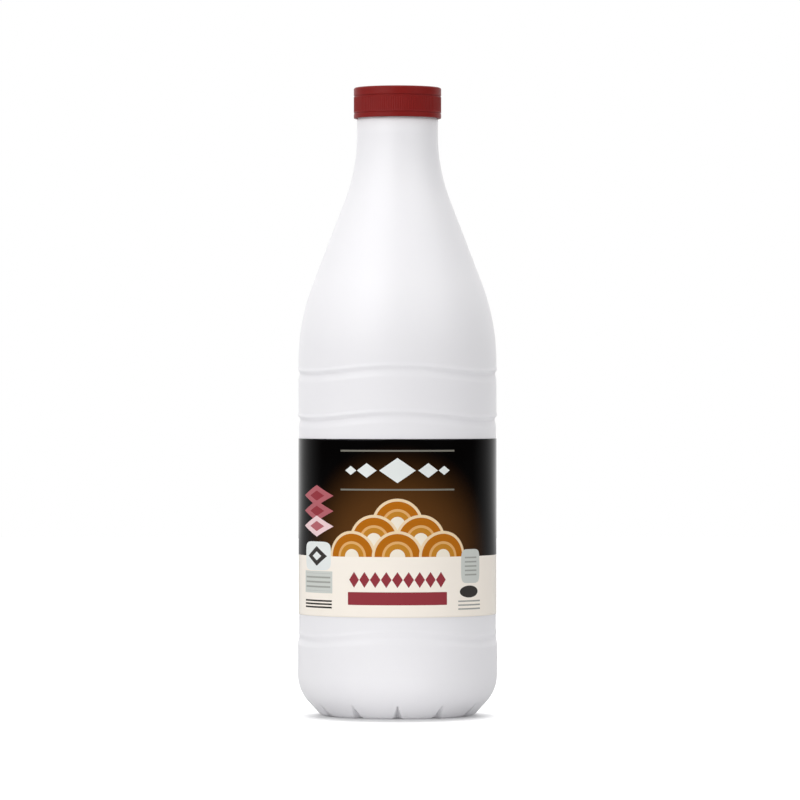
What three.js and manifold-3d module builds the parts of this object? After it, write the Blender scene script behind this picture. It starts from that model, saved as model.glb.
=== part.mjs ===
// A tall round milk bottle of blow-moulded white plastic, shut and full, with a red screw cap over
// its neck and a printed sleeve round its waist. Millimetres, +Z up. The bottle stands on z = 0 with
// its axis on Z, and its front faces -Y.

import * as THREE from "three";
import { ConvexGeometry } from "three/addons/geometries/ConvexGeometry.js";
import { mergeVertices } from "three/addons/utils/BufferGeometryUtils.js";
import Module from "manifold-3d";

// Heights along the bottle
const totalHeight = 295.2;
const shoulderZ = 166.0; // the wall starts to lean in
const neckZ = 272.7; // the neck is straight from here up
const neckFinishZ = 280.3; // the thinner mouth that the cap covers starts here

// Radii of the bottle
const bodyRadius = 46.65;
const panelRadius = 46.4; // the label panel lies a little back between two rings
const heelWallRadius = 47.0;
const neckRadius = 19.1;
const mouthRadius = 18.8;
const shoulderSweep = 103.9; // radius of the shoulder's outward curve
const neckSweep = 84.1; // radius of the inward curve below the neck

// Base
const heelRound = 19.0;
const footTopZ = 6.0; // a faint crease: the heel's round stops and the foot's cone begins
const footRadius = 36.2;
const footEdge = 1.2;
const standingRingWidth = 3.6;
const pushUp = 5.0; // how far the middle of the base is pushed up
const notchCount = 12;
const notchHeight = 6.8;
const notchWidth = 7.5; // at the floor
const notchTipRadius = 33.6; // the notch's ridge leaves the floor here
const notchFullRadius = 40.2; // and reaches its full height here
const notchOuterRadius = 50.0;

// Moulded rings: a lip over a groove, running up and down in three waves round the bottle
const ringHeights = { heel: 38.9, panelTop: 141.2, shoulder: 162.7 };
const ringWaves = 3;
const ringWaveHeight = 1.4; // above and below the ring's middle
const ringReach = 4.5; // no part of a ring lies further from its middle
const ringSection = [
  { rise: -4.2, out: 0 },
  { rise: -2.2, out: -0.7 },
  { rise: -0.9, out: -0.2 },
  { rise: 0.4, out: 0.23 },
  { rise: 2.6, out: 0 },
];

// Label sleeve
const labelBottomZ = 47.5;
const labelTopZ = 130.0;
const labelInnerRadius = 46.5;
const labelOuterRadius = 46.7;

// Cap
const capRadius = 20.6;
const capHeight = 14.5;
const capWall = 1.4;
const capRoof = 1.6;
const capRoofGap = 0.3; // between the roof and the mouth
const capEdgeRound = 0.9;
const capGrooveWidth = 0.6;
const capGrooveDepth = 0.35;
const capGrooveBelowTop = [4.1, 12.2]; // under the top rim, and over the tamper band

const segments = 72; // whole quarter turns, notches and waves
const degree = Math.PI / 180;
const mergeDistance = 1e-4;

// Points of an arc in the (radius, height) plane, both ends included.
function arc(centreRadius, centreZ, radius, fromDegrees, toDegrees, steps) {
  const points = [];
  for (let i = 0; i <= steps; i++) {
    const angle = (fromDegrees + ((toDegrees - fromDegrees) * i) / steps) * degree;
    const r = centreRadius + radius * Math.cos(angle);
    const z = centreZ + radius * Math.sin(angle);
    points.push(new THREE.Vector2(r, z));
  }
  return points;
}

// The underside, from the axis out to the foot: a pushed-up dome inside a flat standing ring.
function undersideProfile() {
  const domeRadius = footRadius - standingRingWidth;
  const domeSteps = 4;
  const points = [];
  for (let i = 0; i <= domeSteps; i++) {
    const share = i / domeSteps;
    points.push(new THREE.Vector2(domeRadius * share, pushUp * (1 - share ** 2)));
  }
  points.push(new THREE.Vector2(footRadius, 0));
  points.push(new THREE.Vector2(footRadius + footEdge, footEdge));
  return points;
}

// The heel's round, from the foot's crease up to the wall.
function heelProfile() {
  const creaseAngle = Math.asin((footTopZ - heelRound) / heelRound) / degree;
  return arc(heelWallRadius - heelRound, heelRound, heelRound, creaseAngle, 0, 7);
}

// One ring between the wall below it and the wall above it.
function ringProfile(middleZ, radiusBelow, radiusAbove) {
  return ringSection.map(({ rise, out }) => {
    const wall = rise < 0 ? radiusBelow : radiusAbove;
    return new THREE.Vector2(wall + out, middleZ + rise);
  });
}

// The shoulder: an outward arc and an inward arc joined by their common tangent.
function shoulderProfile() {
  const across = neckRadius + neckSweep - (bodyRadius - shoulderSweep);
  const up = neckZ - shoulderZ;
  const spread = Math.acos((shoulderSweep + neckSweep) / Math.hypot(across, up));
  const lean = (Math.atan2(up, across) - spread) / degree;
  return [
    ...arc(bodyRadius - shoulderSweep, shoulderZ, shoulderSweep, 0, lean, 8),
    ...arc(neckRadius + neckSweep, neckZ, neckSweep, 180 + lean, 180, 7),
  ];
}

function mouthProfile() {
  const mouthTopZ = totalHeight - capRoof - capRoofGap;
  const step = neckRadius - mouthRadius;
  return [
    new THREE.Vector2(neckRadius, neckFinishZ - step),
    new THREE.Vector2(mouthRadius, neckFinishZ),
    new THREE.Vector2(mouthRadius, mouthTopZ),
    new THREE.Vector2(0, mouthTopZ),
  ];
}

// Turns a profile round the Z axis into one closed body whose seam and poles are merged.
function revolve(profile) {
  const lathe = new THREE.LatheGeometry(profile, segments);
  lathe.rotateX(90 * degree);
  lathe.deleteAttribute("normal");
  lathe.deleteAttribute("uv");
  const merged = mergeVertices(lathe, mergeDistance);
  const corners = merged.index.array;
  const kept = [];
  for (let i = 0; i < corners.length; i += 3) {
    const [a, b, c] = corners.slice(i, i + 3);
    if (a !== b && b !== c && c !== a) kept.push(a, b, c);
  }
  merged.setIndex(kept);
  return merged;
}

// Shifts the rows of each ring up and down in waves, highest at the front.
function waveRings(geometry) {
  const middles = Object.values(ringHeights);
  const position = geometry.attributes.position;
  for (let i = 0; i < position.count; i++) {
    const z = position.getZ(i);
    if (!middles.some((middle) => Math.abs(z - middle) < ringReach)) continue;
    const turn = Math.atan2(position.getX(i), -position.getY(i));
    position.setZ(i, z + ringWaveHeight * Math.cos(ringWaves * turn));
  }
  return geometry;
}

// A wedge that cuts one notch into the foot's outer edge, at the given turn from the front.
function notchCutter(turn) {
  const below = 1;
  const flare = (notchWidth / 2) * (1 + below / notchHeight);
  const corners = [
    new THREE.Vector3(0, -notchTipRadius, 0),
    new THREE.Vector3(0, -notchTipRadius, -below),
  ];
  for (const radius of [notchFullRadius, notchOuterRadius]) {
    corners.push(new THREE.Vector3(-flare, -radius, -below));
    corners.push(new THREE.Vector3(flare, -radius, -below));
    corners.push(new THREE.Vector3(0, -radius, notchHeight));
  }
  const wedge = new ConvexGeometry(corners);
  wedge.rotateZ(turn);
  wedge.deleteAttribute("normal");
  return mergeVertices(wedge, mergeDistance);
}

const wasm = await Module();
wasm.setup();

function toManifold(geometry) {
  const vertProperties = new Float32Array(geometry.attributes.position.array);
  const triVerts = new Uint32Array(geometry.index.array);
  return new wasm.Manifold(new wasm.Mesh({ numProp: 3, vertProperties, triVerts }));
}

function toGeometry(solid) {
  const mesh = solid.getMesh();
  const geometry = new THREE.BufferGeometry();
  geometry.setAttribute("position", new THREE.BufferAttribute(mesh.vertProperties, 3));
  geometry.setIndex(new THREE.BufferAttribute(mesh.triVerts, 1));
  return geometry;
}

// Bottle and milk in one solid: it is shut and opaque, so nothing of its inside can be seen.
function bottleGeometry() {
  const profile = [
    ...undersideProfile(),
    ...heelProfile(),
    ...ringProfile(ringHeights.heel, heelWallRadius, panelRadius),
    ...ringProfile(ringHeights.panelTop, panelRadius, bodyRadius),
    ...ringProfile(ringHeights.shoulder, bodyRadius, bodyRadius),
    ...shoulderProfile(),
    ...mouthProfile(),
  ];
  let solid = toManifold(waveRings(revolve(profile)));
  for (let i = 0; i < notchCount; i++) {
    solid = solid.subtract(toManifold(notchCutter((i * 2 * Math.PI) / notchCount)));
  }
  return toGeometry(solid);
}

// A thin sleeve that keeps clear of the label panel all round.
function labelGeometry() {
  const profile = [
    new THREE.Vector2(labelInnerRadius, labelBottomZ),
    new THREE.Vector2(labelOuterRadius, labelBottomZ),
    new THREE.Vector2(labelOuterRadius, labelTopZ),
    new THREE.Vector2(labelInnerRadius, labelTopZ),
    new THREE.Vector2(labelInnerRadius, labelBottomZ),
  ];
  return revolve(profile);
}

// A cup that opens down over the mouth, its skirt parted by a groove under the top rim and by one
// over the tamper band.
function capGeometry() {
  const bottomZ = totalHeight - capHeight;
  const innerRadius = capRadius - capWall;
  const roofZ = totalHeight - capRoof;
  const grooves = capGrooveBelowTop
    .map((down) => totalHeight - down)
    .sort((low, high) => low - high)
    .flatMap((z) => [
      new THREE.Vector2(capRadius, z - capGrooveWidth / 2),
      new THREE.Vector2(capRadius - capGrooveDepth, z),
      new THREE.Vector2(capRadius, z + capGrooveWidth / 2),
    ]);
  const profile = [
    new THREE.Vector2(0, roofZ),
    new THREE.Vector2(innerRadius, roofZ),
    new THREE.Vector2(innerRadius, bottomZ),
    new THREE.Vector2(capRadius - capGrooveDepth, bottomZ),
    new THREE.Vector2(capRadius, bottomZ + capGrooveDepth),
    ...grooves,
    ...arc(capRadius - capEdgeRound, totalHeight - capEdgeRound, capEdgeRound, 0, 90, 4),
    new THREE.Vector2(0, totalHeight),
  ];
  return revolve(profile);
}

const whitePlastic = new THREE.MeshStandardMaterial({ color: "#f1f0f2", roughness: 0.35, metalness: 0 });
const redPlastic = new THREE.MeshStandardMaterial({ color: "#85322f", roughness: 0.4, metalness: 0 });
const printedFilm = new THREE.MeshStandardMaterial({ color: "#3a2a20", roughness: 0.3, metalness: 0 });

function piece(name, geometry, material) {
  geometry.computeVertexNormals();
  const mesh = new THREE.Mesh(geometry, material);
  mesh.name = name;
  return mesh;
}

const group = new THREE.Group();
group.add(piece("bottle", bottleGeometry(), whitePlastic));
group.add(piece("cap", capGeometry(), redPlastic));
group.add(piece("label", labelGeometry(), printedFilm));

export default group;
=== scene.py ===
# A tall round milk bottle of blow-moulded white plastic, with a red screw cap and a printed sleeve.
# Metres, +Z up. The bottle stands on z = 0 with its axis on Z, and its front faces -Y.

import math
from collections import namedtuple

import bpy
import numpy as np
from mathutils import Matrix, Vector


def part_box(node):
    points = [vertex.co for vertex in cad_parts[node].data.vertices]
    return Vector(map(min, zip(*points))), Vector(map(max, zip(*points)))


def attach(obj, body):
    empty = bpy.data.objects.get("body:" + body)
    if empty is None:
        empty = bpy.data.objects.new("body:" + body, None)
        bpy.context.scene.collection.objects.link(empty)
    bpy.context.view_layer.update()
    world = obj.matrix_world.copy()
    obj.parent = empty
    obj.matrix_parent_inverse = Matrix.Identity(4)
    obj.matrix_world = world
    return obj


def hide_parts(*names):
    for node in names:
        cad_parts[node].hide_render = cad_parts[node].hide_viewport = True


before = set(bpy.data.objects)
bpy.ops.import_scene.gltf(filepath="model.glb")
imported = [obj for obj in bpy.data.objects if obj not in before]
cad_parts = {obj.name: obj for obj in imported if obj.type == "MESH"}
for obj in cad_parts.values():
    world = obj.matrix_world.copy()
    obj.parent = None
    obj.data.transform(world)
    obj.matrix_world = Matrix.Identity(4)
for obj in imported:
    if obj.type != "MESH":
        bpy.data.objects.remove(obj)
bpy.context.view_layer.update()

MM = 0.001

# Sizes from the frame, in millimetres
bottle_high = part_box("bottle")[1] / MM
cap_low, cap_high = (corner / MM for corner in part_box("cap"))
label_low, label_high = (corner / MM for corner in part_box("label"))
HEEL_WALL_RADIUS = bottle_high.x
MOUTH_TOP = bottle_high.z
CAP_RADIUS = cap_high.x
CAP_BOTTOM = cap_low.z
CAP_TOP = cap_high.z
LABEL_RADIUS = label_high.x
LABEL_BOTTOM = label_low.z
LABEL_TOP = label_high.z

# Bottle, in millimetres
BODY_RADIUS = 46.65
PANEL_RADIUS = 46.4
NECK_RADIUS = 19.1
MOUTH_RADIUS = 18.8
SHOULDER_Z = 166.0
SHOULDER_SWEEP = 103.9
NECK_Z = 272.7
NECK_SWEEP = 84.1
NECK_FINISH_Z = 280.3
HEEL_ROUND = 19.0
FOOT_TOP_Z = 6.0
FOOT_RADIUS = 36.2
FOOT_EDGE = 1.2
STANDING_RING = 3.6
PUSH_UP = 5.0
RINGS = (38.9, 141.2, 162.7)  # middles of the moulded rings
RING_KNOTS = ((-5.4, 0.0), (-1.8, -0.62), (0.2, 0.24), (1.8, 0.0))  # rise and relief of a ring
RING_STEP = 0.3
RING_REACH = 5.5  # above and below its middle, a ring moves with its wave as one
WAVE_FADE = 4.5  # and further off the wave dies away

# Sleeve and cap, in millimetres
LABEL_FILM = 0.2
LABEL_EDGE = 0.05
CAP_WALL = 1.4
CAP_ROOF = 1.6
CAP_EDGE_ROUND = 0.9
CAP_LOWER_ROUND = 0.35
CAP_INNER_CORNER = 0.3
CAP_STEP = 0.12
CAP_GROOVE_DEPTH = 0.35
CAP_GROOVE_HALF_WIDTH = 0.35
CAP_GROOVES = (CAP_TOP - 12.2, CAP_TOP - 4.1)
CAP_DISH_RADIUS = 15.5
CAP_DISH_DEPTH = 0.25
CAP_DISH_EDGE = 0.6
GATE_RADIUS = 1.1
GATE_HEIGHT = 0.15
RIB_END = 0.7  # the ribs run out over this length at both grooves

# Inputs of the turning rule, in metres
WAVES = {"Wave Count": 3, "Wave Height": 1.4 * MM, "Crest Fade": 0.42}
NOTCHES = {
    "Notch Count": 12,
    "Notch Height": 6.8 * MM,
    "Notch Width": 10.0 * MM,
    "Notch Flare": 3,
    "Notch Tip Radius": 30.5 * MM,
    "Notch Full Radius": 38.5 * MM,
    "Notch Softness": 0.4 * MM,
}
RIBS = {"Rib Count": 120, "Rib Depth": 0.16 * MM}

# A point of a profile with a ring's relief there, and with how far the waves, the notches and the
# ribs act on it, from 0 to 1
WEIGHTS = ("relief", "wave", "notch", "rib")
Row = namedtuple("Row", ("radius", "height", *WEIGHTS), defaults=(0.0, 0.0, 0.0, 0.0))


def eased(share):
    """0 to 1 with a soft start and a soft end."""
    share = min(max(share, 0.0), 1.0)
    return share * share * (3 - 2 * share)


def arc(centre_radius, centre_height, radius, start, stop, steps):
    """Points (radius, height) of an arc between two angles in degrees, both ends included."""
    turns = np.radians(np.linspace(start, stop, steps + 1))
    return [
        (centre_radius + radius * math.cos(turn), centre_height + radius * math.sin(turn))
        for turn in turns
    ]


def line(start, stop, steps):
    """Points of a straight run, both ends included."""
    shares = np.linspace(0, 1, steps + 1)
    return [tuple(np.add(start, share * np.subtract(stop, start))) for share in shares]


def base_points():
    """Dome, standing ring, rounded foot edge and foot cone, from the axis out to the crease."""
    dome_radius = FOOT_RADIUS - STANDING_RING
    dome_steps = np.append(np.arange(0, 25, 4), np.linspace(26, dome_radius, 10))
    dome = [(radius, PUSH_UP * (1 - (radius / dome_radius) ** 2)) for radius in dome_steps]
    edge_end = np.array((FOOT_RADIUS + FOOT_EDGE, FOOT_EDGE))
    crease_reach = math.sqrt(HEEL_ROUND**2 - (HEEL_ROUND - FOOT_TOP_Z) ** 2)
    crease = np.array((HEEL_WALL_RADIUS - HEEL_ROUND + crease_reach, FOOT_TOP_Z))
    lean = (crease - edge_end)[0] / (crease - edge_end)[1]
    corner = np.array((edge_end[0] - FOOT_EDGE * lean, 0.0))
    edge_start = corner - (FOOT_EDGE, 0)
    ring = line((dome_radius, 0), tuple(edge_start), 4)
    edge = [
        tuple((1 - share) ** 2 * edge_start + 2 * share * (1 - share) * corner + share**2 * edge_end)
        for share in np.linspace(0, 1, 6)
    ]
    return dome + ring[1:] + edge[1:] + line(edge_end, crease, 10)[1:]


def ring_points(middle, below, above):
    """One moulded ring: a lip over a groove, between two wall radii."""
    points = []
    bottom, groove, lip, top = (rise for rise, relief in RING_KNOTS)
    for rise in np.arange(bottom, top + RING_STEP / 2, RING_STEP):
        wall = below + (above - below) * eased((rise - groove) / (lip - groove))
        for (low, out_low), (high, out_high) in zip(RING_KNOTS, RING_KNOTS[1:]):
            if low <= rise <= high + RING_STEP / 2:
                relief = out_low + (out_high - out_low) * eased((rise - low) / (high - low))
                break
        points.append((wall + relief, middle + rise, relief))
    return points


def shoulder_points():
    """An outward arc and an inward arc joined by their common tangent."""
    across = NECK_RADIUS + NECK_SWEEP - (BODY_RADIUS - SHOULDER_SWEEP)
    up = NECK_Z - SHOULDER_Z
    spread = math.acos((SHOULDER_SWEEP + NECK_SWEEP) / math.hypot(across, up))
    lean = math.degrees(math.atan2(up, across) - spread)
    outward = arc(BODY_RADIUS - SHOULDER_SWEEP, SHOULDER_Z, SHOULDER_SWEEP, 0, lean, 24)
    inward = arc(NECK_RADIUS + NECK_SWEEP, NECK_Z, NECK_SWEEP, 180 + lean, 180, 20)
    return outward + line(outward[-1], inward[0], 6)[1:-1] + inward


def bottle_rows():
    heel_ring, panel_ring, shoulder_ring = RINGS
    crease_angle = math.degrees(math.asin((FOOT_TOP_Z - HEEL_ROUND) / HEEL_ROUND))
    step = NECK_RADIUS - MOUTH_RADIUS
    base = base_points()
    heel = arc(HEEL_WALL_RADIUS - HEEL_ROUND, HEEL_ROUND, HEEL_ROUND, crease_angle, 0, 26)[1:]
    points = base + heel
    points += ring_points(heel_ring, HEEL_WALL_RADIUS, PANEL_RADIUS)
    points += line((PANEL_RADIUS, LABEL_BOTTOM), (PANEL_RADIUS, LABEL_TOP), 4)
    points += ring_points(panel_ring, PANEL_RADIUS, BODY_RADIUS)
    points += ring_points(shoulder_ring, BODY_RADIUS, BODY_RADIUS)
    points += shoulder_points()
    points += [(NECK_RADIUS, NECK_FINISH_Z - step), (MOUTH_RADIUS, NECK_FINISH_Z)]
    points += [(MOUTH_RADIUS, MOUTH_TOP), (0.0, MOUTH_TOP)]
    rows = []
    for radius, height, *relief in points:
        gap = min(abs(height - middle) for middle in RINGS)
        wave = 1 - eased((gap - RING_REACH) / WAVE_FADE)
        notch = float(height < HEEL_ROUND)
        rows.append(Row(radius, height, *(relief or [0.0]), wave, notch))
    return rows


def label_rows():
    inner = LABEL_RADIUS - LABEL_FILM
    low, high = LABEL_BOTTOM, LABEL_TOP
    outside = [(LABEL_RADIUS - LABEL_EDGE, low), (LABEL_RADIUS, low + LABEL_EDGE)]
    outside += line((LABEL_RADIUS, low + 1), (LABEL_RADIUS, high - 1), 8)
    outside += [(LABEL_RADIUS, high - LABEL_EDGE), (LABEL_RADIUS - LABEL_EDGE, high)]
    return [Row(*point) for point in [(inner, low)] + outside + [(inner, high), (inner, low)]]


def cap_rows():
    inner = CAP_RADIUS - CAP_WALL
    roof = CAP_TOP - CAP_ROOF
    lower, edge = CAP_LOWER_ROUND, CAP_EDGE_ROUND
    inside = [(0, roof), (inner - CAP_INNER_CORNER, roof), (inner, roof - CAP_INNER_CORNER)]
    inside += line((inner, roof - 1), (inner, CAP_BOTTOM), 3)
    inside += arc(CAP_RADIUS - lower, CAP_BOTTOM + lower, lower, -90, 0, 4)
    rows = [Row(*point) for point in inside]
    low_groove, high_groove = CAP_GROOVES
    for height in np.arange(CAP_BOTTOM + 5 * CAP_STEP, CAP_TOP - edge - 0.05, CAP_STEP):
        gap = min(abs(height - groove) for groove in CAP_GROOVES)
        dip = CAP_GROOVE_DEPTH * (1 - eased(gap / CAP_GROOVE_HALF_WIDTH))
        along_skirt = min(height - low_groove, high_groove - height) - CAP_GROOVE_HALF_WIDTH
        rows.append(Row(CAP_RADIUS - dip, height, rib=eased(along_skirt / RIB_END)))
    dish = CAP_TOP - CAP_DISH_DEPTH
    top = arc(CAP_RADIUS - edge, CAP_TOP - edge, edge, 0, 90, 8)
    top += [
        (CAP_DISH_RADIUS + CAP_DISH_EDGE, CAP_TOP),
        (CAP_DISH_RADIUS + CAP_DISH_EDGE / 2, CAP_TOP - CAP_DISH_DEPTH / 2),
        (CAP_DISH_RADIUS, dish),
        (CAP_DISH_RADIUS - 1, dish),
        (6, dish),
        (GATE_RADIUS + 0.2, dish),
        (GATE_RADIUS, dish + 0.1),
        (GATE_RADIUS - 0.3, dish + GATE_HEIGHT),
        (0, dish + GATE_HEIGHT),
    ]
    return rows + [Row(*point) for point in top]


def feed(tree, node, inputs):
    """Gives a node its inputs: values, sockets, or nodes, which give their first output."""
    for key, value in inputs.items():
        if isinstance(value, bpy.types.Node):
            value = value.outputs[0]
        if isinstance(value, bpy.types.NodeSocket):
            tree.links.new(value, node.inputs[key])
        else:
            node.inputs[key].default_value = value


def add(tree, kind, settings=None, inputs=None):
    """Adds one node with its settings and its inputs."""
    node = tree.nodes.new(kind)
    for name, value in (settings or {}).items():
        setattr(node, name, value)
    feed(tree, node, inputs or {})
    return node


MATH = "ShaderNodeMath"
WHOLE = "FunctionNodeIntegerMath"
SAMPLE = "GeometryNodeSampleIndex"


def turned_shell_tree():
    """The rule that bottle, cap and sleeve share: a profile turned round Z, with waves, notches
    and ribs."""
    tree = bpy.data.node_groups.new("turned_shell", "GeometryNodeTree")
    tree.interface.new_socket("Profile", in_out="INPUT", socket_type="NodeSocketGeometry")
    counts = ("Segments", "Wave Count", "Notch Count", "Notch Flare", "Rib Count")
    sizes = (
        "Wave Height",
        "Crest Fade",
        "Notch Height",
        "Notch Width",
        "Notch Tip Radius",
        "Notch Full Radius",
        "Notch Softness",
        "Rib Depth",
    )
    for name in counts:
        count = tree.interface.new_socket(name, in_out="INPUT", socket_type="NodeSocketInt")
        count.default_value = 1
    for name in sizes:
        tree.interface.new_socket(name, in_out="INPUT", socket_type="NodeSocketFloat")
    tree.interface.new_socket("Material", in_out="INPUT", socket_type="NodeSocketMaterial")
    tree.interface.new_socket("Shell", in_out="OUTPUT", socket_type="NodeSocketGeometry")
    given = add(tree, "NodeGroupInput").outputs
    profile = given["Profile"]

    profile_size = add(tree, "GeometryNodeAttributeDomainSize", None, {"Geometry": profile})
    rows = profile_size.outputs["Point Count"]
    columns = add(tree, WHOLE, {"operation": "ADD"}, {0: given["Segments"], 1: 1})
    grid = add(tree, "GeometryNodeMeshGrid", inputs={"Vertices X": columns, "Vertices Y": rows})
    index = add(tree, "GeometryNodeInputIndex")
    row = add(tree, WHOLE, {"operation": "MODULO"}, {0: index, 1: rows})
    column = add(tree, WHOLE, {"operation": "DIVIDE_FLOOR"}, {0: index, 1: rows})
    share = add(tree, MATH, {"operation": "DIVIDE"}, {0: column, 1: given["Segments"]})
    turn = add(tree, MATH, {"operation": "MULTIPLY"}, {0: share, 1: math.tau})

    place = add(tree, "GeometryNodeInputPosition")
    sampled = {"Geometry": profile, "Value": place, "Index": row}
    point = add(tree, SAMPLE, {"data_type": "FLOAT_VECTOR"}, sampled)
    weights = {}
    for name in WEIGHTS:
        stored = add(tree, "GeometryNodeInputNamedAttribute", {"data_type": "FLOAT"}, {"Name": name})
        weights[name] = add(tree, SAMPLE, None, {"Geometry": profile, "Value": stored, "Index": row})
    profile_point = add(tree, "ShaderNodeSeparateXYZ", inputs={0: point}).outputs

    ripple = add(tree, MATH, {"operation": "MULTIPLY"}, {0: turn, 1: given["Rib Count"]})
    ripple = add(tree, MATH, {"operation": "COSINE"}, {0: ripple})
    valley = add(tree, MATH, {"operation": "MULTIPLY_ADD"}, {0: ripple, 1: -0.5, 2: 0.5})
    valley = add(tree, MATH, {"operation": "MULTIPLY"}, {0: valley, 1: given["Rib Depth"]})
    valley = add(tree, MATH, {"operation": "MULTIPLY"}, {0: valley, 1: weights["rib"]})
    radius = add(tree, MATH, {"operation": "SUBTRACT"}, {0: profile_point["X"], 1: valley})

    # A ring's relief is shallower on the crests of its waves and deeper in their troughs
    wave = add(tree, MATH, {"operation": "MULTIPLY"}, {0: turn, 1: given["Wave Count"]})
    wave = add(tree, MATH, {"operation": "COSINE"}, {0: wave})
    fade = add(tree, MATH, {"operation": "MULTIPLY"}, {0: wave, 1: given["Crest Fade"]})
    fade = add(tree, MATH, {"operation": "MULTIPLY"}, {0: fade, 1: weights["relief"]})
    radius = add(tree, MATH, {"operation": "SUBTRACT"}, {0: radius, 1: fade})
    wave = add(tree, MATH, {"operation": "MULTIPLY"}, {0: wave, 1: given["Wave Height"]})
    raised = {0: wave, 1: weights["wave"], 2: profile_point["Z"]}
    height = add(tree, MATH, {"operation": "MULTIPLY_ADD"}, raised)

    # Distance along the foot to the middle of the nearest notch, then the notch's sloping roof
    notch_share = add(tree, MATH, {"operation": "MULTIPLY"}, {0: share, 1: given["Notch Count"]})
    notch_share = add(tree, MATH, {"operation": "PINGPONG"}, {0: notch_share, 1: 0.5})
    notch_turn = add(tree, MATH, {"operation": "DIVIDE"}, {0: notch_share, 1: given["Notch Count"]})
    notch_turn = add(tree, MATH, {"operation": "MULTIPLY"}, {0: notch_turn, 1: math.tau})
    across = add(tree, MATH, {"operation": "MULTIPLY"}, {0: notch_turn, 1: radius})
    half_width = add(tree, MATH, {"operation": "DIVIDE"}, {0: given["Notch Width"], 1: 2})
    across = add(tree, MATH, {"operation": "DIVIDE"}, {0: across, 1: half_width})
    under_roof = add(tree, MATH, {"operation": "SUBTRACT", "use_clamp": True}, {0: 1, 1: across})
    flared = add(tree, MATH, {"operation": "POWER"}, {0: under_roof, 1: given["Notch Flare"]})
    from_tip = {"From Min": given["Notch Tip Radius"], "From Max": given["Notch Full Radius"]}
    ramp = add(tree, "ShaderNodeMapRange", None, {"Value": radius, **from_tip})
    roof = add(tree, MATH, {"operation": "MULTIPLY"}, {0: flared, 1: given["Notch Height"]})
    roof = add(tree, MATH, {"operation": "MULTIPLY"}, {0: roof, 1: ramp})
    roof = add(tree, MATH, {"operation": "SUBTRACT"}, {0: roof, 1: given["Notch Softness"]})
    softly = {0: height, 1: roof, 2: given["Notch Softness"]}
    raised = add(tree, MATH, {"operation": "SMOOTH_MAX"}, softly)
    rise = add(tree, MATH, {"operation": "SUBTRACT"}, {0: raised, 1: height})
    height = add(tree, MATH, {"operation": "MULTIPLY_ADD"}, {0: rise, 1: weights["notch"], 2: height})

    right = add(tree, MATH, {"operation": "SINE"}, {0: turn})
    right = add(tree, MATH, {"operation": "MULTIPLY"}, {0: right, 1: radius})
    back = add(tree, MATH, {"operation": "COSINE"}, {0: turn})
    back = add(tree, MATH, {"operation": "MULTIPLY"}, {0: back, 1: radius})
    back = add(tree, MATH, {"operation": "MULTIPLY"}, {0: back, 1: -1})
    position = add(tree, "ShaderNodeCombineXYZ", inputs={"X": right, "Y": back, "Z": height})
    shell = add(tree, "GeometryNodeSetPosition", inputs={"Geometry": grid, "Position": position})
    shell = add(tree, "GeometryNodeMergeByDistance", inputs={"Geometry": shell, "Distance": 0.005 * MM})
    shell = add(tree, "GeometryNodeSetShadeSmooth", inputs={"Geometry": shell})
    shell = add(tree, "GeometryNodeRealizeInstances", inputs={"Geometry": shell})
    finished = {"Geometry": shell, "Material": given["Material"]}
    shell = add(tree, "GeometryNodeSetMaterial", inputs=finished)
    add(tree, "NodeGroupOutput", inputs={"Shell": shell})
    return tree


def turned_piece(name, tree, rows, inputs):
    """Makes one plain mesh from a profile in millimetres, with the rule's inputs by name."""
    profile = bpy.data.meshes.new(name + "_profile")
    points = [(row.radius * MM, 0, row.height * MM) for row in rows]
    profile.from_pydata(points, [(i, i + 1) for i in range(len(rows) - 1)], [])
    for weight in WEIGHTS:
        scale = MM if weight == "relief" else 1
        values = [getattr(row, weight) * scale for row in rows]
        profile.attributes.new(weight, "FLOAT", "POINT").data.foreach_set("value", values)
    maker = bpy.data.objects.new(name + "_maker", profile)
    bpy.context.scene.collection.objects.link(maker)
    turning = maker.modifiers.new("turning", "NODES")
    turning.node_group = tree
    for socket in tree.interface.items_tree:
        if socket.name in inputs:
            turning[socket.identifier] = inputs[socket.name]
    evaluated = maker.evaluated_get(bpy.context.evaluated_depsgraph_get())
    mesh = bpy.data.meshes.new_from_object(evaluated)
    mesh.name = name
    piece = bpy.data.objects.new(name, mesh)
    bpy.context.scene.collection.objects.link(piece)
    bpy.data.objects.remove(maker)
    return piece


def colour(code):
    """An sRGB hex colour as linear RGBA."""
    parts = [int(code[i : i + 2], 16) / 255 for i in (1, 3, 5)]
    linear = [part / 12.92 if part <= 0.04045 else ((part + 0.055) / 1.055) ** 2.4 for part in parts]
    return (*linear, 1.0)


def new_material(name):
    """An empty material with its own shader and output, and Object coordinates."""
    material = bpy.data.materials.new(name)
    material.use_nodes = True
    tree = material.node_tree
    tree.nodes.clear()
    shader = add(tree, "ShaderNodeBsdfPrincipled")
    add(tree, "ShaderNodeOutputMaterial", inputs={"Surface": shader})
    place = add(tree, "ShaderNodeTexCoord").outputs["Object"]
    return material, tree, shader, place


# Sizes of surface texture, in millimetres
ORANGE_PEEL = 6.0
ORANGE_PEEL_DEPTH = 0.012
MOULD_GRAIN = 0.5
MOULD_GRAIN_DEPTH = 0.002
CLOUD = 45.0
PARTING_LINE_HALF_WIDTH = 0.3
PARTING_LINE_HEIGHT = 0.06
MILKY_DEPTH = 3.0
CAP_CLOUD = 9.0
CAP_GRAIN = 0.4
CAP_GRAIN_DEPTH = 0.003
FILM_RIPPLE = 14.0
FILM_RIPPLE_DEPTH = 0.02


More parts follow.
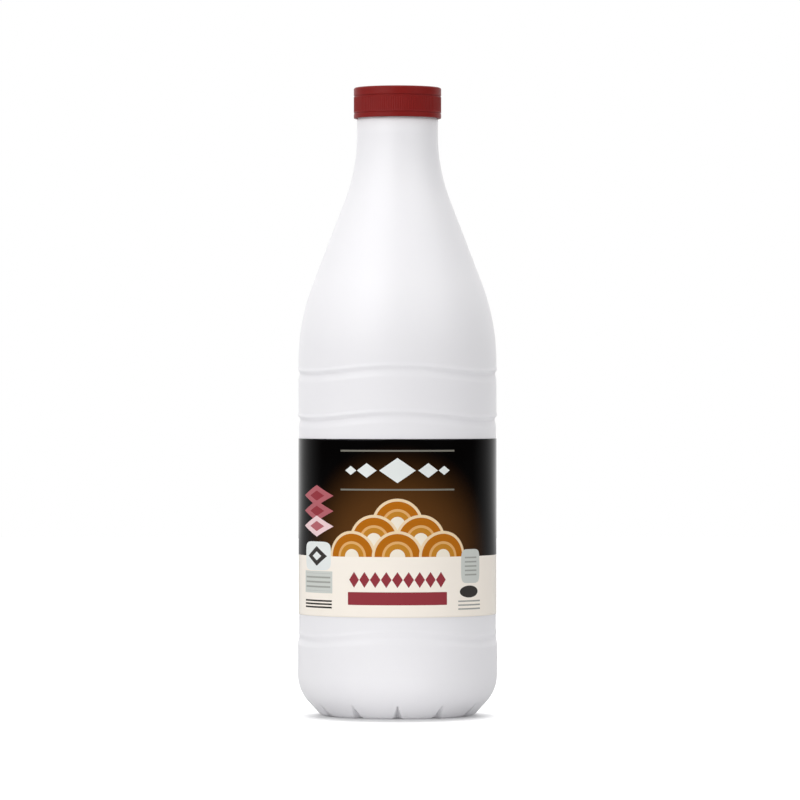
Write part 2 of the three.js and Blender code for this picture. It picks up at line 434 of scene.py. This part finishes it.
def blow_moulded_polythene():
    """Opaque white HDPE from a blow mould: satin skin with faint orange peel, milky depth, and the
    mould's parting line down both sides."""
    material, tree, shader, place = new_material("blow_moulded_polythene")
    noises = []
    for size, detail in ((CLOUD, 2), (ORANGE_PEEL, 1), (MOULD_GRAIN, 1)):
        texture = {"Vector": place, "Scale": 1 / (size * MM), "Detail": detail}
        noises.append(add(tree, "ShaderNodeTexNoise", None, texture))
    cloud, peel, grain = noises
    tones = {"Factor": cloud, 6: colour("#f3f2f4"), 7: colour("#efeef1")}
    tone = add(tree, "ShaderNodeMix", {"data_type": "RGBA"}, tones).outputs[2]
    side = add(tree, "ShaderNodeSeparateXYZ", None, {0: place}).outputs["Y"]
    side = add(tree, MATH, {"operation": "ABSOLUTE"}, {0: side})
    ridge = add(
        tree,
        "ShaderNodeMapRange",
        {"interpolation_type": "SMOOTHSTEP"},
        {"Value": side, "From Max": PARTING_LINE_HALF_WIDTH * MM, "To Min": 1.0, "To Max": 0.0},
    )
    peeled = {"Height": peel, "Distance": ORANGE_PEEL_DEPTH * MM}
    bump = add(tree, "ShaderNodeBump", None, peeled)
    grained = {"Height": grain, "Distance": MOULD_GRAIN_DEPTH * MM, "Normal": bump}
    bump = add(tree, "ShaderNodeBump", None, grained)
    parted = {"Height": ridge, "Distance": PARTING_LINE_HEIGHT * MM, "Normal": bump}
    bump = add(tree, "ShaderNodeBump", None, parted)
    rough = add(tree, "ShaderNodeMapRange", None, {"Value": cloud, "To Min": 0.30, "To Max": 0.42})
    skin = {
        "Base Color": tone,
        "Roughness": rough,
        "Normal": bump,
        "IOR": 1.5,
        "Subsurface Weight": 0.15,
        "Subsurface Radius": (1.0, 1.0, 1.0),
        "Subsurface Scale": MILKY_DEPTH * MM,
    }
    feed(tree, shader, skin)
    return material


def moulded_red_polypropylene():
    """Dark red polypropylene from a polished mould: a soft gloss over a very fine grain."""
    material, tree, shader, place = new_material("moulded_red_polypropylene")
    clouds = {"Vector": place, "Scale": 1 / (CAP_CLOUD * MM), "Detail": 2}
    cloud = add(tree, "ShaderNodeTexNoise", None, clouds)
    tones = {"Factor": cloud, 6: colour("#821713"), 7: colour("#7a1411")}
    tone = add(tree, "ShaderNodeMix", {"data_type": "RGBA"}, tones).outputs[2]
    grains = {"Vector": place, "Scale": 1 / (CAP_GRAIN * MM), "Detail": 1}
    grain = add(tree, "ShaderNodeTexNoise", None, grains)
    bump = add(tree, "ShaderNodeBump", None, {"Height": grain, "Distance": CAP_GRAIN_DEPTH * MM})
    rough = add(tree, "ShaderNodeMapRange", None, {"Value": cloud, "To Min": 0.38, "To Max": 0.48})
    skin = {
        "Base Color": tone,
        "Roughness": rough,
        "Normal": bump,
        "IOR": 1.49,
        "Specular IOR Level": 0.2,
    }
    feed(tree, shader, skin)
    return material


# Edges of printed shapes: the power of a superellipse
LOZENGE = 1.0
OVAL = 2.0
CUSHION = 5.0
BLOCK = 60.0

# A printed shape, in millimetres round the bottle from the front and above its foot. A striped
# shape shows only as lines of the given thickness, a pitch apart. One line covers a plain shape.
Shape = namedtuple(
    "Shape",
    "code around height half_width half_height edge pitch thickness",
    defaults=(BLOCK, 1000.0, 2000.0),
)

CREAM_TOP = 75.5  # the cream field ends here and the black one starts
GLOW_MIDDLE = 74.0
GLOW_START = 22.0  # the brown glow is even this far from its middle
GLOW_END = 55.0  # and has gone here
BLACK = "#040303"
GLOW_BROWN = "#5a3818"
CREAM = "#fbf3e8"
WHITE = "#e8ecea"
RULE_GREY = "#7d7b72"
RED = "#953a42"
ROSE = "#b4656c"
PALE_ROSE = "#efd0d2"
INK = "#3d3a38"
PALE_GREY = "#cfd2cd"
LINE_GREY = "#a4a6a0"
BACK_TURN = math.pi * LABEL_RADIUS


def scallops():
    """Overlapping fans of milky coffee tones, stacked like fish scales."""
    bands = (
        (1.0, "#f0d7b1"),
        (0.89, "#b76b15"),
        (0.60, "#e1ae6e"),
        (0.50, "#c4842c"),
        (0.30, "#f4ead9"),
    )
    spacing, radius, rise = 22.0, 12.0, 7.5
    shapes = []
    for level, places in ((2, (0,)), (1, (-0.5, 0.5)), (0, (-1, 0, 1))):
        for place in places:
            for share, code in bands:
                size = radius * share
                shapes.append(Shape(code, place * spacing, CREAM_TOP + level * rise, size, size, OVAL))
    return shapes


def front_ornaments():
    """Rules and lozenges over the fans, and a lozenge border over the red bar."""
    shapes = [Shape(RULE_GREY, 0, height, 28, 0.4) for height in (106.6, 124.6)]
    shapes += [Shape(WHITE, 0, 115.5, 8.5, 5.8, LOZENGE)]
    for side in (-1, 1):
        shapes += [Shape(WHITE, side * 14.5, 115.5, 4.8, 3.4, LOZENGE)]
        shapes += [Shape(WHITE, side * 22.5, 115.5, 2.9, 2.1, LOZENGE)]
    shapes += [Shape(RED, place * 5.2, 64.9, 2.5, 3.7, LOZENGE) for place in range(-4, 5)]
    shapes += [Shape(RED, 0, 56.2, 24.0, 3.0)]
    return shapes


def side_marks():
    """Lozenges, cushions and striped fields left and right of the front."""
    left, right = -43.7, 37.7
    return [
        Shape(ROSE, left, 103.6, 11.5, 4.9, LOZENGE),
        Shape(RED, left, 103.6, 5.6, 2.4, LOZENGE),
        Shape(ROSE, left, 96.5, 11.5, 4.9, LOZENGE),
        Shape(RED, left, 96.5, 5.6, 2.4, LOZENGE),
        Shape(PALE_ROSE, left, 89.4, 11.5, 4.9, LOZENGE),
        Shape(ROSE, left, 89.4, 5.6, 2.4, LOZENGE),
        Shape(WHITE, left, 75.5, 9.9, 6.7, CUSHION),
        Shape(INK, left, 75.5, 7.4, 4.6, LOZENGE),
        Shape(WHITE, left, 75.5, 3.4, 2.1, LOZENGE),
        Shape(PALE_GREY, left, 63.4, 10.8, 5.1),
        Shape(LINE_GREY, left, 63.4, 9.6, 4.1, BLOCK, 2.2, 0.8),
        Shape(INK, left, 53.2, 10.5, 2.2, BLOCK, 1.5, 0.8),
        Shape(PALE_GREY, right + 0.6, 70.9, 6.3, 7.9, CUSHION),
        Shape(LINE_GREY, right + 0.6, 70.9, 4.0, 5.6, BLOCK, 2.0, 0.7),
        Shape(INK, right - 0.5, 59.1, 6.0, 2.8, OVAL),
        Shape(LINE_GREY, right, 52.9, 7.4, 2.4, BLOCK, 1.8, 0.7),
    ]


def back_marks():
    """Striped fields and a plain panel behind, and the edge where the film overlaps itself."""
    shapes = [
        Shape(LINE_GREY, 105, 103, 27, 17, BLOCK, 2.6, 0.9),
        Shape(LINE_GREY, 105, 61.5, 27, 8.5, BLOCK, 2.2, 0.8),
        Shape(WHITE, -108, 103, 21, 13, CUSHION),
        Shape(RULE_GREY, -108, 61.5, 24, 8.5, BLOCK, 2.8, 0.35),
        Shape(PALE_ROSE, -78, 103, 6, 6, OVAL),
    ]
    shapes += [Shape("#8d8780", side * BACK_TURN, 90, 0.25, 90) for side in (-1, 1)]
    return shapes


def printed_shape_group():
    """Mask of one printed shape: inside a superellipse, and on one of its stripes."""
    tree = bpy.data.node_groups.new("printed_shape", "ShaderNodeTree")
    names = ("Around", "Height", "Centre Around", "Centre Height", "Half Width", "Half Height")
    for name in (*names, "Edge", "Pitch", "Thickness"):
        tree.interface.new_socket(name, in_out="INPUT", socket_type="NodeSocketFloat")
    tree.interface.new_socket("Mask", in_out="OUTPUT", socket_type="NodeSocketFloat")
    given = add(tree, "NodeGroupInput").outputs
    reach = []
    for way, half in (("Around", "Half Width"), ("Height", "Half Height")):
        gap = add(tree, MATH, {"operation": "SUBTRACT"}, {0: given[way], 1: given["Centre " + way]})
        share = add(tree, MATH, {"operation": "DIVIDE"}, {0: gap, 1: given[half]})
        share = add(tree, MATH, {"operation": "ABSOLUTE"}, {0: share})
        reach.append(add(tree, MATH, {"operation": "POWER"}, {0: share, 1: given["Edge"]}))
    reach = add(tree, MATH, {"operation": "ADD"}, {0: reach[0], 1: reach[1]})
    inside = add(tree, MATH, {"operation": "LESS_THAN"}, {0: reach, 1: 1.0})
    half_pitch = add(tree, MATH, {"operation": "DIVIDE"}, {0: given["Pitch"], 1: 2})
    from_line = add(tree, MATH, {"operation": "PINGPONG"}, {0: gap, 1: half_pitch})
    half_line = add(tree, MATH, {"operation": "DIVIDE"}, {0: given["Thickness"], 1: 2})
    striped = add(tree, MATH, {"operation": "LESS_THAN"}, {0: from_line, 1: half_line})
    mask = add(tree, MATH, {"operation": "MULTIPLY"}, {0: inside, 1: striped})
    add(tree, "NodeGroupOutput", inputs={"Mask": mask})
    return tree


def printed_film():
    """Printed polypropylene sleeve: deep flat inks under a thin gloss that wakes up only at grazing
    angles, so that black stays black in front and pales at the sides."""
    material, tree, shader, place = new_material("printed_film")
    axes = add(tree, "ShaderNodeSeparateXYZ", None, {0: place}).outputs
    toward = add(tree, MATH, {"operation": "MULTIPLY"}, {0: axes["Y"], 1: -1})
    turn = add(tree, MATH, {"operation": "ARCTAN2"}, {0: axes["X"], 1: toward})
    around = add(tree, MATH, {"operation": "MULTIPLY"}, {0: turn, 1: LABEL_RADIUS})
    height = add(tree, MATH, {"operation": "DIVIDE"}, {0: axes["Z"], 1: MM})

    on_label = add(tree, "ShaderNodeCombineXYZ", None, {"X": around, "Y": height})
    ends = {0: on_label, 1: (0, GLOW_MIDDLE, 0)}
    away = add(tree, "ShaderNodeVectorMath", {"operation": "DISTANCE"}, ends).outputs["Value"]
    fading = {"Value": away, "From Min": GLOW_START, "From Max": GLOW_END, "To Min": 1, "To Max": 0}
    glow = add(tree, "ShaderNodeMapRange", {"interpolation_type": "SMOOTHSTEP"}, fading)
    tones = {"Factor": glow, 6: colour(BLACK), 7: colour(GLOW_BROWN)}
    field = add(tree, "ShaderNodeMix", {"data_type": "RGBA"}, tones).outputs[2]

    shape_group = printed_shape_group()
    cream = Shape(CREAM, 0, CREAM_TOP - 50, 200, 50)
    for shape in [*scallops(), cream, *front_ornaments(), *side_marks(), *back_marks()]:
        sizes = {
            "Around": around,
            "Height": height,
            "Centre Around": shape.around,
            "Centre Height": shape.height,
            "Half Width": shape.half_width,
            "Half Height": shape.half_height,
            "Edge": shape.edge,
            "Pitch": shape.pitch,
            "Thickness": shape.thickness,
        }
        mask = add(tree, "ShaderNodeGroup", {"node_tree": shape_group}, sizes)
        tones = {"Factor": mask, 6: field, 7: colour(shape.code)}
        field = add(tree, "ShaderNodeMix", {"data_type": "RGBA"}, tones).outputs[2]

    ripples = {"Vector": place, "Scale": 1 / (FILM_RIPPLE * MM), "Detail": 1}
    ripple = add(tree, "ShaderNodeTexNoise", None, ripples)
    bump = add(tree, "ShaderNodeBump", None, {"Height": ripple, "Distance": FILM_RIPPLE_DEPTH * MM})
    rough = add(tree, "ShaderNodeMapRange", None, {"Value": ripple, "To Min": 0.10, "To Max": 0.18})
    skin = {"Base Color": field, "Roughness": rough, "Normal": bump, "Specular IOR Level": 0.07}
    feed(tree, shader, skin)
    return material


TABLE_HALF = 3.0  # in metres
# The light the floor gives the bottle is painted glow: stronger in a painted pool of light in front of
# it, and dimmed near the foot as painted shade
FLOOR_GLOW = 0.13  # how much light the floor gives the bottle
POOL_GLOW = 0.68  # and in a pool of light in front of it
POOL_MIDDLE = 90.0  # in front of the axis, in millimetres
POOL_RADIUS = 90.0
# The contact shadow is painted: the floor's glow fades out between these distances from a point in
# front of the axis
SHADOW_MIDDLE = 20.0  # in front of the axis, in millimetres
SHADOW_START = 30.0  # from that middle
SHADOW_END = 62.0
SHADED_GLOW = 0.6  # share of the light given where the shadow is


def studio_floor():
    """A wide white table that glows. Seen by the camera, it glows as bright as the backdrop away from
    the bottle, so that the two melt together. Near the bottle the glow fades out, and that is a painted
    contact shadow, the only shadow that shows. To the bottle it gives a little light from below, as a
    painted pool of light in front of it and with painted shade under the foot."""
    mesh = bpy.data.meshes.new("floor")
    corners = [(x * TABLE_HALF, y * TABLE_HALF, 0) for x, y in ((-1, -1), (1, -1), (1, 1), (-1, 1))]
    mesh.from_pydata(corners, [], [(0, 1, 2, 3)])
    floor = bpy.data.objects.new("floor", mesh)
    bpy.context.scene.collection.objects.link(floor)
    material, tree, shader, place = new_material("white_table_painted_shadow")
    ends = {0: place, 1: (0, -SHADOW_MIDDLE * MM, 0)}
    away = add(tree, "ShaderNodeVectorMath", {"operation": "DISTANCE"}, ends).outputs["Value"]
    # Painted contact shadow: no glow near the bottle, full glow further off
    clearing = {"Value": away, "From Min": SHADOW_START * MM, "From Max": SHADOW_END * MM}
    clear = add(tree, "ShaderNodeMapRange", {"interpolation_type": "SMOOTHSTEP"}, clearing)
    # Painted pool of light in front of the bottle, in the glow given to it
    ends = {0: place, 1: (0, -POOL_MIDDLE * MM, 0)}
    away = add(tree, "ShaderNodeVectorMath", {"operation": "DISTANCE"}, ends).outputs["Value"]
    pool = {"Value": away, "From Max": POOL_RADIUS * MM, "To Min": POOL_GLOW, "To Max": FLOOR_GLOW}
    given = add(tree, "ShaderNodeMapRange", {"interpolation_type": "SMOOTHSTEP"}, pool)
    # Painted shade under the foot, in the glow given to the bottle
    shading = {"Value": clear, "To Min": SHADED_GLOW, "To Max": 1.0}
    unshaded = add(tree, "ShaderNodeMapRange", None, shading)
    given = add(tree, MATH, {"operation": "MULTIPLY"}, {0: given, 1: unshaded})
    # The camera sees the glow with the painted contact shadow, and the bottle gets the painted pool and
    # the painted shade
    seen = add(tree, "ShaderNodeLightPath").outputs["Is Camera Ray"]
    strength = add(tree, "ShaderNodeMapRange", None, {"Value": seen, "To Min": given, "To Max": clear})
    skin = {
        "Base Color": colour("#cfcfd0"),
        "Roughness": 0.7,
        "Specular IOR Level": 0.0,
        "Emission Color": colour("#ffffff"),
        "Emission Strength": strength,
    }
    feed(tree, shader, skin)
    mesh.materials.append(material)


def softbox(name, azimuth, elevation, distance, size, watts):
    """A soft square light aimed at the bottle. Azimuth 0 is in front, and positive is right.
    Distance and size are in metres."""
    turn, lift = math.radians(azimuth), math.radians(elevation)
    way = Vector((math.sin(turn) * math.cos(lift), -math.cos(turn) * math.cos(lift), math.sin(lift)))
    data = bpy.data.lights.new(name, "AREA")
    data.shape = "SQUARE"
    data.size = size
    data.energy = watts
    light = bpy.data.objects.new(name, data)
    light.location = Vector((0, 0, CAP_TOP * MM / 2)) + way * distance
    light.rotation_euler = way.to_track_quat("Z", "Y").to_euler()
    bpy.context.scene.collection.objects.link(light)


SKY_LEVEL = 0.0  # strength of the even light from the room in front, at eye level
SKY_HIGH = 0.6  # from above it
SKY_BACK = 1.08  # and from the white backdrop behind


def studio_light():
    world = bpy.data.worlds.new("studio")
    bpy.context.scene.world = world
    world.use_nodes = True
    tree = world.node_tree
    tree.nodes.clear()
    way = add(tree, "ShaderNodeTexCoord").outputs["Generated"]
    axes = add(tree, "ShaderNodeSeparateXYZ", None, {0: way}).outputs
    upward = {"From Min": 0.1, "From Max": 0.5, "To Min": SKY_LEVEL, "To Max": SKY_HIGH}
    front = add(tree, "ShaderNodeMapRange", None, {"Value": axes["Z"], **upward})
    backward = {"From Min": 0.15, "From Max": 0.95, "To Min": front, "To Max": SKY_BACK}
    sky = add(tree, "ShaderNodeMapRange", None, {"Value": axes["Y"], **backward})
    seen = add(tree, "ShaderNodeLightPath").outputs["Is Camera Ray"]
    strength = add(tree, "ShaderNodeMapRange", None, {"Value": seen, "To Min": sky, "To Max": 1.0})
    white = {"Color": colour("#ffffff"), "Strength": strength}
    backdrop = add(tree, "ShaderNodeBackground", None, white)
    add(tree, "ShaderNodeOutputWorld", inputs={"Surface": backdrop})
    softbox("key", -38, 30, 0.8, 0.6, 2.35)
    softbox("side", -80, 30, 0.8, 0.6, 0.7)
    softbox("fill", 50, 35, 0.8, 0.6, 1.2)
    softbox("top", 0, 85, 1.5, 0.8, 5.0)


# The photograph's camera: level, aimed at the middle of the picture
PICTURE = 800
SENSOR = 36.0
MM_PER_PIXEL = 0.47133  # at the bottle's axis
LENS_PIXELS = 5000  # the lens's focal length
CAMERA_DISTANCE = LENS_PIXELS * MM_PER_PIXEL
AXIS_PIXEL = 397.5
CAMERA_HEIGHT = 148.1


def camera():
    data = bpy.data.cameras.new("camera")
    data.sensor_width = SENSOR
    data.lens = SENSOR * LENS_PIXELS / PICTURE
    view = bpy.data.objects.new("camera", data)
    right = (PICTURE / 2 - AXIS_PIXEL) * MM_PER_PIXEL
    view.location = Vector((right, -CAMERA_DISTANCE, CAMERA_HEIGHT)) * MM
    view.rotation_euler = (math.pi / 2, 0, 0)
    bpy.context.scene.collection.objects.link(view)
    bpy.context.scene.camera = view


camera()
bpy.context.scene.view_settings.view_transform = "Standard"
studio_light()
studio_floor()

shell = turned_shell_tree()
polythene = {"Segments": 480, "Material": blow_moulded_polythene(), **WAVES, **NOTCHES}
polypropylene = {"Segments": 720, "Material": moulded_red_polypropylene(), **RIBS}
film = {"Segments": 360, "Material": printed_film()}
pieces = (
    ("bottle_shell", "bottle", "white_plastic", bottle_rows(), polythene),
    ("screw_cap", "cap", "red_plastic", cap_rows(), polypropylene),
    ("wrap_label", "label", "printed_film", label_rows(), film),
)
for name, node, slot, rows, inputs in pieces:
    piece = turned_piece(name, shell, rows, inputs)
    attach(piece, "root")
    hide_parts(node)
